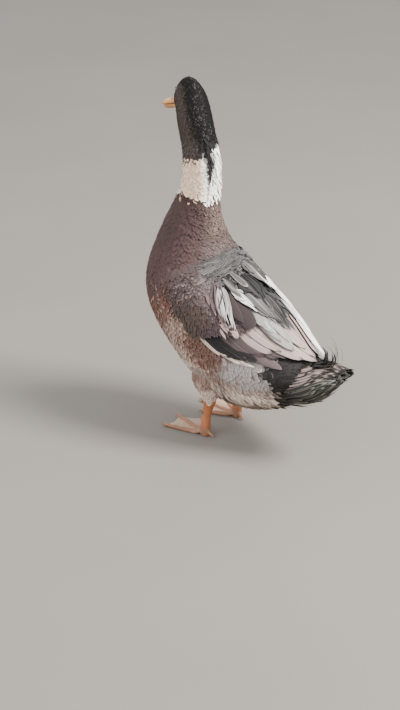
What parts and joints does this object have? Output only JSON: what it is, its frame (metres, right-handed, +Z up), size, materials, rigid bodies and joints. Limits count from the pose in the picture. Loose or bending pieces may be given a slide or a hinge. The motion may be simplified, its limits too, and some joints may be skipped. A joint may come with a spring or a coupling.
{
  "type": "standing drake model",
  "caption": "Life-size still model of a standing pied domestic drake, wings folded, tail cocked, head turned to its right.",
  "frame": {"origin": "on the floor, under the middle of the bounding box", "axes": "+X the way the breast points, +Y the bird's left, +Z up"},
  "size_m": [0.3426, 0.1606, 0.4871],
  "materials": {
    "dark_head": "short dark plumage with a slight green sheen",
    "neck": "soft cream plumage over a dark base",
    "plumage": "claret-brown and grey body plumage",
    "wing": "grey and white flight feathers",
    "tail": "dark tail feathers with pale fringes",
    "leg": "scaled orange skin",
    "bill": "smooth yellow-orange horn",
    "eye": "wet dark eye"
  },
  "bodies": {
    "root": {"torso": "plumage", "neck": "neck", "head": "dark_head", "bill_upper": "bill", "bill_lower": "bill", "eye_left": "eye", "eye_right": "eye", "tail": "tail", "wing_left": "wing", "wing_right": "wing", "thigh_left": "plumage", "thigh_right": "plumage", "shank_left": "leg", "shank_right": "leg", "foot_left": "leg", "foot_right": "leg"}
  },
  "joints": []
}
